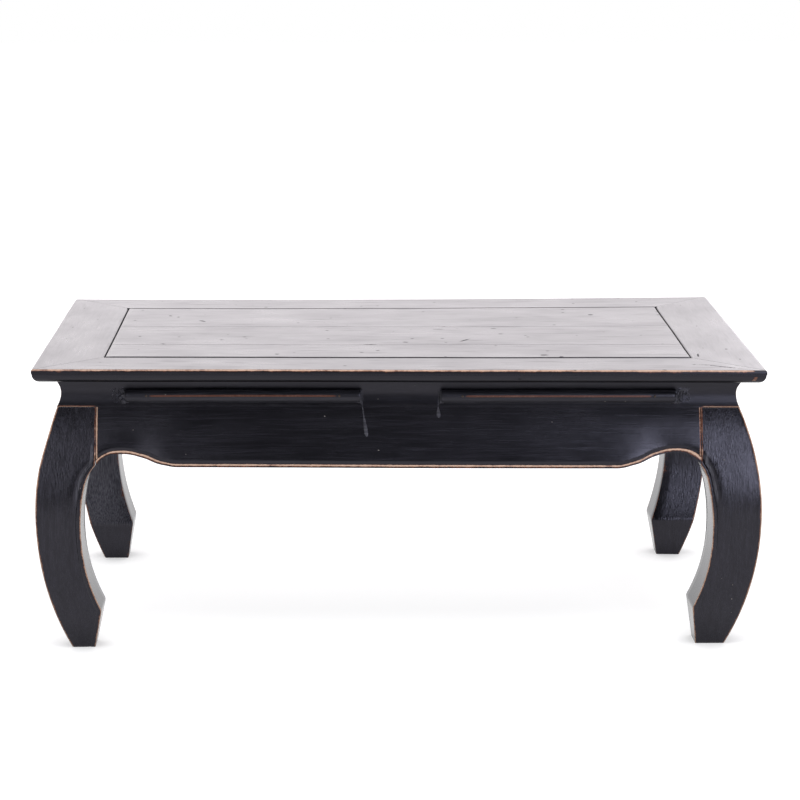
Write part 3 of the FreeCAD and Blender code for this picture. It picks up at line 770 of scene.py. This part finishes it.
def rail_section():
    """Section of the frame as inset, height and rub: worn arris, flat band, step and round underside."""
    band = HEIGHT - EDGE_BAND
    section = [(RAIL_WIDTH - 1.3, HEIGHT, 0.1)]
    section += [(d, HEIGHT, 0.0) for d in (86, 80, 72, 62, 50, 38, 26, 16, 10, 6)]
    section += [(4.0, HEIGHT, 0.1), (2.6, HEIGHT - 0.03, 0.4), (1.5, HEIGHT - 0.3, 0.85)]
    section += [(0.7, HEIGHT - 0.8, 1.0), (0.2, HEIGHT - 1.7, 0.72), (0, HEIGHT - 2.5, 0.42)]
    section += [(0, HEIGHT - 3.8, 0.3), (0, band + 1.0, 0.1), (0.1, band + 0.1, 0.2)]
    section += [(EDGE_STEP, band - 0.1, 0.0), (EDGE_STEP, UNDERSIDE + EDGE_ROUND, 0.0)]
    for angle in np.radians((12, 25, 38, 51, 64, 77, 90)):
        section.append((EDGE_STEP + EDGE_ROUND * (1 - math.cos(angle)),
                        UNDERSIDE + EDGE_ROUND * (1 - math.sin(angle)), 0.0))
    section += [(30, UNDERSIDE, 0.0), (55, UNDERSIDE, 0.0), (RAIL_WIDTH - 0.5, UNDERSIDE, 0.1)]
    section += [(RAIL_WIDTH, UNDERSIDE + 0.5, 0.1), (RAIL_WIDTH, HEIGHT - 3, 0.0)]
    section.append((RAIL_WIDTH, HEIGHT - 1.3, 0.1))
    return section


# Wear of the front rail along its length from left to right: its arris, and a chip near its right end
FRONT_ARRIS_WEAR = ((-1.0, 0.87), (0.0, 0.92), (0.5, 0.95), (0.962, 0.95), (0.974, 0.2))
FRONT_CHIP = ((0.962, 0.0), (0.968, 0.68), (0.974, 0.68), (0.98, 0.0))
CHIP_HEIGHTS = (384, 391)
MITRE_SEAM = 0.12
BACK_ARRIS_WEAR = 1.0
END_ARRIS_WEAR = 0.4


def rail_piece(node, half, reach, quarter):
    """One mitred member of the top frame."""
    section = rail_section()
    rings, rubs = [], []
    chipped = [0.955, 0.962, 0.968, 0.974, 0.98, 0.9985, 1.0]
    for t in np.unique(np.concatenate([[-1.0, -0.9985], np.linspace(-0.99, 0.99, 81), chipped])):
        seam = MITRE_SEAM if abs(t) == 1.0 else 0.0
        rings.append([placed(t * (half - d), d, z - (seam if z > HEIGHT - 1 else 0.0), reach, quarter)
                      for d, z, _ in section])
        worn, chip = (BACK_ARRIS_WEAR if quarter == 2 else END_ARRIS_WEAR), 0.0
        if quarter == 0:
            worn = ramp(FRONT_ARRIS_WEAR, t)
            chip = ramp(FRONT_CHIP, t)
        row = []
        for d, z, value in section:
            arris = z > HEIGHT - 4 and d < 3
            chip_here = chip if CHIP_HEIGHTS[0] < z < CHIP_HEIGHTS[1] else 0.0
            row.append(max(value * (worn if arris else 1.0), chip_here))
        rubs.append(row)
    shells = [(rings, rubs, 0.0, TOP_LACQUER[quarter % 2])]
    return skin(node + "_moulded", shells, node)


def board_edge(y, tongue, ease, inward):
    """Section of a board's long edge, from its underside up, tongued into the frame or plain at a seam."""
    if tongue is None:
        low = [(y, PANEL_BOTTOM, 0.0), (y, TONGUE_TOP - 1, 0.0)]
    else:
        low = [(tongue, PANEL_BOTTOM, 0.0), (tongue, TONGUE_TOP, 0.0)]
    return low + [(y, TONGUE_TOP, 0.0), (y, HEIGHT - ease, 0.1),
                  (y + inward * ease * 0.3, HEIGHT - ease * 0.3, 0.2), (y + inward * ease, HEIGHT, 0.1)]


# How far the arrises of the panel are eased at the frame and at the seams, and how far the front board
# stands proud at the frame, fading over this width
FRONT_EASE = 1.5
BACK_EASE = 1.3
SEAM_EASE = 0.15
FRONT_PROUD = 0.7
PROUD_WIDTH = 70


def board_section(front, back):
    """Section of one board of the panel across its grain, as place, height and rub."""
    field = HALF_DEPTH - RAIL_WIDTH - PANEL_GAP
    tongue = HALF_DEPTH - RAIL_WIDTH
    if front < -field:
        front_edge = board_edge(-field, -tongue, FRONT_EASE, 1)
    else:
        front_edge = board_edge(front, None, SEAM_EASE, 1)
    if back > field:
        back_edge = board_edge(field, tongue, BACK_EASE, -1)
    else:
        back_edge = board_edge(back, None, SEAM_EASE, -1)
    start, stop = max(front, -field), min(back, field)
    top = [(y, HEIGHT, 0.0) for y in np.linspace(start + 4, stop - 4, 12)]
    return front_edge + top + back_edge[::-1]


def board_piece(node, front, back):
    """One board of the floating panel, its edges eased and tongued into the frame."""
    section = board_section(front, back)
    first = max(front, RAIL_WIDTH + PANEL_GAP - HALF_DEPTH)
    proud = FRONT_PROUD if first > front else 0.0
    tip = HALF_LENGTH - RAIL_WIDTH
    field = tip - PANEL_GAP
    # Along the grain: place, highest surface and rub, from the left tongue to the right one
    stations = [(-tip, TONGUE_TOP, 0.0), (-field, TONGUE_TOP, 0.0), (-field, HEIGHT - 1.8, 0.1),
                (0.6 - field, HEIGHT - 0.6, 0.2), (1.8 - field, HEIGHT, 0.1)]
    stations += [(x, HEIGHT, 0.0) for x in np.linspace(-field + 8, field - 8, 61)]
    stations += [(field - 1.4, HEIGHT, 0.1), (field - 0.9, HEIGHT - 0.4, 0.1)]
    stations += [(field - 0.9, TONGUE_TOP, 0.0), (tip, TONGUE_TOP, 0.0)]
    rings, rubs = [], []
    for x, cap, edge in stations:
        ring = []
        for y, z, _ in section:
            rise = proud * max(0.0, 1 - (y - first) / PROUD_WIDTH) if z > TONGUE_TOP else 0.0
            ring.append((x, y, min(z, cap) + rise))
        rings.append(ring)
        rubs.append([max(value, edge) for _, _, value in section])
    shells = [(rings, rubs, 0.0, TOP_LACQUER[0])]
    return skin(node + "_planed", shells, node)


# Bars in the waist

# Angles round a bar's face, closer at the crest, where a line is rubbed brown about this angle
BAR_ANGLES = (-66, -50, -36, -24, -14, -6, 1, 5, 8, 11, 14, 17, 21, 27, 38, 52, 66)
BAR_CREST = 11
BAR_BACK_HALF = 7
BAR_BACK_SUNK = 1.5
BAR_CREST_RUB = ((0, 0.62), (6, 0.56), (9, 0.3), (13, 0.0))
# Painted light on a bar by angle round its face: paler grey on its lower half, which faces the lit floor,
# none at the crest and a little on its upper half
BAR_PAINTED_LIGHT = ((-60, 0.6), (-36, 0.3), (-8, 0.2), (4, 0.0), (20, 0.2))
# A bar's ends are eased by this much, at distances from the lacquer that hides them
BAR_END_EASE = ((0.0, 1.2), (0.3, 0.6), (1.2, 0.2), (2.6, 0.0))


def bar_shell(centre, reach, quarter):
    """The half-round bar itself, flat at its back, with painted light in pale grey on its face."""
    eased = np.array([gap for gap, _ in BAR_END_EASE]) + BAR_END_HIDDEN
    stations = np.concatenate([eased, np.linspace(8, BAR_LENGTH - 8, 61), BAR_LENGTH - eased[::-1]])
    rings, rubs, dust_and_painted_light_greys = [], [], []
    for s in stations:
        from_end = min(s, BAR_LENGTH - s)
        along = centre - BAR_LENGTH / 2 + s
        radius = BAR_RADIUS - ramp(BAR_END_EASE, from_end - BAR_END_HIDDEN)
        kept = ramp(((24, 0.0), (40, 1.0)), from_end)
        ring, rub, dust_and_painted_light_grey = [], [], []
        for turn in BAR_ANGLES:
            angle = math.radians(turn)
            deep = BAR_INSET - radius * math.cos(angle)
            ring.append(placed(along, deep, BAR_SEAT + radius * math.sin(angle), reach, quarter))
            rub.append(ramp(BAR_CREST_RUB, abs(turn - BAR_CREST)) * kept)
            # Painted light: paler grey on the bar's face by angle
            dust_and_painted_light_grey.append(ramp(BAR_PAINTED_LIGHT, turn))
        for up in (BAR_BACK_HALF, -BAR_BACK_HALF):
            ring.append(placed(along, COVE_INSET + BAR_BACK_SUNK, BAR_SEAT + up, reach, quarter))
        rings.append(ring)
        rubs.append(rub + [0.0, 0.0])
        dust_and_painted_light_greys.append(dust_and_painted_light_grey + [0.0, 0.0])
    return rings, rubs, dust_and_painted_light_greys, WAIST_LACQUER[quarter % 2]


def bar_piece(node, centre, reach, quarter):
    """A half-round bar lying in the cove, its crest rubbed brown and its ends run over with lacquer."""
    shells = [bar_shell(centre, reach, quarter)]
    for sign in (-1, 1):
        end = centre + sign * BAR_LENGTH / 2
        by_leg = centre * sign >= 0
        shells.append(lacquer_runs(end, sign, 1.0 if by_leg else 0.0, reach, quarter))
        if quarter == 0 and not by_leg:
            length, lean = FRONT_DRIPS[sign]
            shells.append(lacquer_drip(end - DRIP_FROM_END, length, lean, reach, quarter))
    return skin(node + "_rounded", shells, node)


# Lacquer at a bar's end: where lumps lie, by the distance beyond the end and by height, and its dusty rim
LUMPS_BEYOND = ((-4, 0.0), (0, 1.0), (14, 0.9), (22, 0.0))
LUMPS_HEIGHT = ((346, 0.0), (351, 1.0), (366, 1.0), (371, 0.0))
LUMP_DEPTH = 2.3
RIM_DUST = ((-4, 0.0), (-1, 0.9), (1, 0.9), (3, 0.0))
HEAP_DEPTH = 6.0
# Length and height of the ridges between the lumps
RIDGE_SIZE = (5.0, 8.0)
# Half width of a drip down its length, which swells into a drop
DRIP_WIDTH = ((0.0, 0.8), (0.5, 1.1), (0.72, 2.7), (0.9, 3.0), (0.97, 1.9), (1.0, 0.4))
DRIP_BELOW_SEAT = 3
DRIP_DUST = 0.65


def lacquer_runs(end, sign, lumpy, reach, quarter):
    """Lacquer gathered over a bar's end, and where it is lumpy also in ridges on the cove beyond it."""
    rings, dust_and_painted_light_greys = [], []
    heights = np.linspace(WAIST_BOTTOM + 2, UNDERSIDE - 9, 43)
    spread = 2.0 + 3.0 * lumpy
    for s in np.linspace(-7, 22, 59):
        ring, dust_and_painted_light_grey = [], []
        for z in heights:
            place = Vector((end * 0.37 + sign * s / RIDGE_SIZE[0], quarter * 5.0, z / RIDGE_SIZE[1]))
            crest = max(0.0, 1 - 3.0 * abs(noise.noise(place)) - 0.9 * abs(noise.noise(place * 2.3)))
            thick = lumpy * ramp(LUMPS_BEYOND, s) * ramp(LUMPS_HEIGHT, z)
            across = (z - BAR_SEAT) / BAR_RADIUS
            heap = HEAP_DEPTH * math.sqrt(max(0.0, 1 - across * across))
            heap *= math.exp(-(max(s + 2, 0.0) / spread) ** 2)
            rim = ramp(RIM_DUST, s) if abs(across) < 1.0 else 0.0
            deep = cove(z) + 0.5 - heap - LUMP_DEPTH * thick * crest
            ring.append(placed(end + sign * s, deep, z, reach, quarter))
            # Paler grey on the lumps, strongest on their crests: partly milky lacquer, partly painted glints
            # on the ridges
            dust_and_painted_light_grey.append(max(thick * (0.4 + crest ** 2), rim))
        for z in (heights[-1], heights[0]):
            ring.append(placed(end + sign * s, COVE_INSET + 4, z, reach, quarter))
        rings.append(ring)
        dust_and_painted_light_greys.append(dust_and_painted_light_grey + [0.0, 0.0])
    return rings, np.zeros_like(dust_and_painted_light_greys), dust_and_painted_light_greys, APRON_LACQUER[quarter % 2]


def lacquer_drip(start, length, lean, reach, quarter):
    """A run of lacquer that set as it slid from a bar's end down the apron, swelling into a drop."""
    rings = []
    for share in np.linspace(0, 1, 31):
        z = BAR_SEAT - DRIP_BELOW_SEAT - length * share
        wide = ramp(DRIP_WIDTH, share)
        face = cove(z) if z > WAIST_BOTTOM else bow(z)
        section = [(a, 0.2 - 0.35 * wide * math.sqrt(1 - a * a)) for a in np.linspace(-1, 1, 9)]
        section += [(1, 2.0), (-1, 2.0)]
        rings.append([placed(start + lean * share + a * wide, face + deep, z, reach, quarter)
                      for a, deep in section])
    rings = np.array(rings)
    return rings, np.zeros(rings.shape[:2]), DRIP_DUST, APRON_LACQUER[quarter % 2]


def brad_heads(spots):
    """Domed nail heads on the crests of the bars, set out by a node tree."""
    seeds = bpy.data.meshes.new("brad_spots")
    seeds.from_pydata([tuple(np.array(place) * MM) for place, _ in spots], [], [])
    turn = seeds.attributes.new("turn", "FLOAT", "POINT")
    turn.data.foreach_set("value", np.array([angle for _, angle in spots], dtype=np.float32))
    piece = bpy.data.objects.new("brad_heads", seeds)
    bpy.context.collection.objects.link(piece)
    tree = bpy.data.node_groups.new("brad_setting", "GeometryNodeTree")
    tree.interface.new_socket("Geometry", in_out="INPUT", socket_type="NodeSocketGeometry")
    radius = tree.interface.new_socket("Head Radius", in_out="INPUT", socket_type="NodeSocketFloat")
    tree.interface.new_socket("Geometry", in_out="OUTPUT", socket_type="NodeSocketGeometry")
    entry = add(tree, "NodeGroupInput").outputs
    dome = add(tree, "GeometryNodeMeshUVSphere", {"Segments": 12, "Rings": 6, "Radius": entry[1]}).outputs[0]
    squash = add(tree, "GeometryNodeTransform",
                 {"Geometry": dome, "Scale": (1.0, BRAD_HEAD_DOME, 1.0)}).outputs[0]
    angle = add(tree, "GeometryNodeInputNamedAttribute", {"data_type": "FLOAT", "Name": "turn"}).outputs[0]
    about = add(tree, "ShaderNodeCombineXYZ", {2: angle}).outputs[0]
    spread = add(tree, "GeometryNodeInstanceOnPoints",
                 {"Points": entry[0], "Instance": squash, "Rotation": about}).outputs[0]
    solid = add(tree, "GeometryNodeRealizeInstances", {0: spread}).outputs[0]
    finish = add(tree, "GeometryNodeSetMaterial", {"Geometry": solid, "Material": BRAD_STEEL}).outputs[0]
    add(tree, "NodeGroupOutput", {0: finish})
    modifier = piece.modifiers.new("setting", "NODES")
    modifier.node_group = tree
    modifier[radius.identifier] = BRAD_HEAD_RADIUS * MM
    graph = bpy.context.evaluated_depsgraph_get()
    mesh = bpy.data.meshes.new_from_object(piece.evaluated_get(graph), depsgraph=graph)
    piece.modifiers.clear()
    piece.data = mesh
    mesh.shade_smooth()
    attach(piece, "root")
    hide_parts("bar_brads")
    return piece


# The table put together

LONG = (HALF_LENGTH, HALF_DEPTH)
SHORT = (HALF_DEPTH, HALF_LENGTH)
SIDES = (("front", LONG, 0), ("right", SHORT, 1), ("back", LONG, 2), ("left", SHORT, 3))

leg_piece("leg_front_left", -1, -1, 0, hoof=-4.0, shank=-3.0)
leg_piece("leg_front_right", 1, -1, 1, hoof=5.0, shank=2.3)
leg_piece("leg_back_right", 1, 1, 2, hoof=0.0, shank=0.0, turned=2.2)
leg_piece("leg_back_left", -1, 1, 3, hoof=1.5, shank=0.0)

brad_spots = []
for side, (half, reach), quarter in SIDES:
    apron_piece("apron_" + side, half, reach, quarter)
    rail = "top_rail_" if quarter % 2 == 0 else "top_end_"
    rail_piece(rail + side, half, reach, quarter)
    bars = [("waist_bar_" + side, 0.0)]
    if quarter % 2 == 0:
        middle = (BAR_GAP + BAR_LENGTH) / 2
        first, second = ("left", "right") if quarter == 0 else ("right", "left")
        bars = [("waist_bar_%s_%s" % (side, first), BAR_SHIFT - middle),
                ("waist_bar_%s_%s" % (side, second), middle)]
    for node, centre in bars:
        bar_piece(node, centre, reach, quarter)
        for sign in (-1, 1):
            along = centre + sign * (BAR_LENGTH / 2 - BRAD_FROM_END)
            spot = placed(along, BAR_INSET - BAR_RADIUS + BRAD_SUNK, BAR_HEIGHT, reach, quarter)
            brad_spots.append((as_made([spot])[0], quarter * math.pi / 2))
brad_heads(brad_spots)

board_piece("panel_board_front", -HALF_DEPTH, BOARD_SEAMS[0])
board_piece("panel_board_middle", BOARD_SEAMS[0], BOARD_SEAMS[1])
board_piece("panel_board_back", BOARD_SEAMS[1], HALF_DEPTH)

for place in ("left", "middle", "right"):
    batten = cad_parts["panel_batten_" + place]
    batten.data.materials.clear()
    batten.data.materials.append(WASHED)


# Floor, light and camera

FLOOR_REACH = 14.0
FLOOR_DIM = "#818181"
FLOOR_BRIGHT = "#bcbcbc"
CONTACT_REACH = 0.055
ROOM_FRONT = "#f7f8ff"
ROOM_BACK = "#fffafd"


def studio_floor():
    """A wide white floor that keeps a faint shadow, falls dark to reflections and is clear from below."""
    mesh = bpy.data.meshes.new("studio_floor")
    corners = [(x * FLOOR_REACH, y * FLOOR_REACH, 0) for x, y in ((-1, -1), (1, -1), (1, 1), (-1, 1))]
    mesh.from_pydata(corners, [], [(0, 1, 2, 3)])
    floor = bpy.data.objects.new("studio_floor", mesh)
    bpy.context.collection.objects.link(floor)
    material, tree, coords = new_material("white_floor")
    rays = add(tree, "ShaderNodeLightPath").outputs
    place = add(tree, "ShaderNodeSeparateXYZ", {0: coords}).outputs[1]
    lit = rescaled(tree, place, -2.4, -1.0, 0.1, 1.12, smooth=True)
    mirrored = arithmetic(tree, "MULTIPLY", rays["Is Glossy Ray"], lit)
    seen = arithmetic(tree, "MAXIMUM", rays["Is Camera Ray"], mirrored)
    near = add(tree, "ShaderNodeAmbientOcclusion", {"samples": 16, "Distance": CONTACT_REACH}).outputs["AO"]
    strength = arithmetic(tree, "MULTIPLY", seen, rescaled(tree, near, 0.5, 0.97, 0.5, 0.79))
    glow = add(tree, "ShaderNodeEmission", {"Color": linear("#ffffff"), "Strength": strength}).outputs[0]
    white = mixed(tree, rays["Is Camera Ray"], FLOOR_DIM, FLOOR_BRIGHT)
    paint = add(tree, "ShaderNodeBsdfDiffuse", {"Color": white}).outputs[0]
    both = add(tree, "ShaderNodeAddShader", {0: glow, 1: paint}).outputs[0]
    below = add(tree, "ShaderNodeNewGeometry").outputs["Backfacing"]
    clear = add(tree, "ShaderNodeBsdfTransparent").outputs[0]
    surface = add(tree, "ShaderNodeMixShader", {0: below, 1: both, 2: clear}).outputs[0]
    add(tree, "ShaderNodeOutputMaterial", {0: surface})
    mesh.materials.append(material)


def studio_world():
    """Bright behind and above the table, dim behind the camera; plain white to the camera itself."""
    world = bpy.data.worlds.new("studio")
    bpy.context.scene.world = world
    world.use_nodes = True
    tree = world.node_tree
    tree.nodes.clear()
    ray = add(tree, "ShaderNodeTexCoord").outputs["Generated"]
    split = add(tree, "ShaderNodeSeparateXYZ", {0: ray}).outputs
    behind = rescaled(tree, split[1], -0.25, 0.35, 0.115, 1.0, smooth=True)
    above = rescaled(tree, split[2], 0.6, 0.9, 0.0, 0.8, smooth=True)
    room = arithmetic(tree, "MAXIMUM", behind, above)
    tint = mixed(tree, behind, ROOM_FRONT, ROOM_BACK)
    seen = add(tree, "ShaderNodeLightPath").outputs["Is Camera Ray"]
    strength = arithmetic(tree, "MAXIMUM", room, seen)
    colour = mixed(tree, seen, tint, "#ffffff")
    sky = add(tree, "ShaderNodeBackground", {"Color": colour, "Strength": strength}).outputs[0]
    add(tree, "ShaderNodeOutputWorld", {0: sky})


def softbox(name, place, target, size_x, size_y, watts, colour):
    """A flat rectangular lamp in metres, aimed at a target and unseen by the camera."""
    lamp = bpy.data.lights.new(name, "AREA")
    lamp.shape = "RECTANGLE"
    lamp.size, lamp.size_y = size_x, size_y
    lamp.energy = watts
    lamp.color = linear(colour)[:3]
    box = bpy.data.objects.new(name, lamp)
    box.location = place
    box.rotation_euler = (Vector(target) - Vector(place)).to_track_quat("-Z", "Y").to_euler()
    box.visible_camera = False
    bpy.context.collection.objects.link(box)


# The camera of the photograph: its lens in pixels of a square picture, its place and its turns in degrees
PICTURE_PIXELS = 800
LENS_PIXELS = 2474.5
SENSOR_WIDTH = 36.0
CAMERA_PLACE = (-0.0527, -3.5822, 1.0308)
CAMERA_PAN = -0.934
CAMERA_DOWN = 11.561
CAMERA_ROLL = -0.08


def photo_camera():
    """A long lens, a little above the table and almost straight on."""
    camera = bpy.data.cameras.new("photo_camera")
    camera.sensor_width = SENSOR_WIDTH
    camera.lens = LENS_PIXELS / PICTURE_PIXELS * SENSOR_WIDTH
    holder = bpy.data.objects.new("photo_camera", camera)
    turn = Matrix.Identity(4)
    for angle, axis in ((CAMERA_PAN, "Z"), (90 - CAMERA_DOWN, "X"), (CAMERA_ROLL, "Z")):
        turn = turn @ Matrix.Rotation(math.radians(angle), 4, axis)
    holder.matrix_world = Matrix.Translation(CAMERA_PLACE) @ turn
    bpy.context.collection.objects.link(holder)
    bpy.context.scene.camera = holder


studio_floor()
studio_world()
softbox("rear_panel", (0.0, 3.4, 1.7), (0.0, 0.0, 0.4), 7.0, 2.6, 79, "#fffafc")
softbox("rear_right", (2.0, 3.3, 1.7), (0.4, 0.0, 0.4), 2.2, 2.4, 13, "#fffbff")
softbox("key_right", (1.1, -2.6, 0.78), (0.45, 0.0, 0.3), 0.65, 1.4, 18, "#eaefff")
softbox("fill_left", (-1.1, -2.6, 0.78), (-0.45, 0.0, 0.3), 0.8, 1.4, 6.5, "#f7f9ff")
softbox("overhead", (0.0, -1.5, 2.7), (0.0, -0.2, 0.3), 3.2, 1.2, 46, "#ffffff")
photo_camera()
bpy.context.scene.view_settings.view_transform = "Standard"
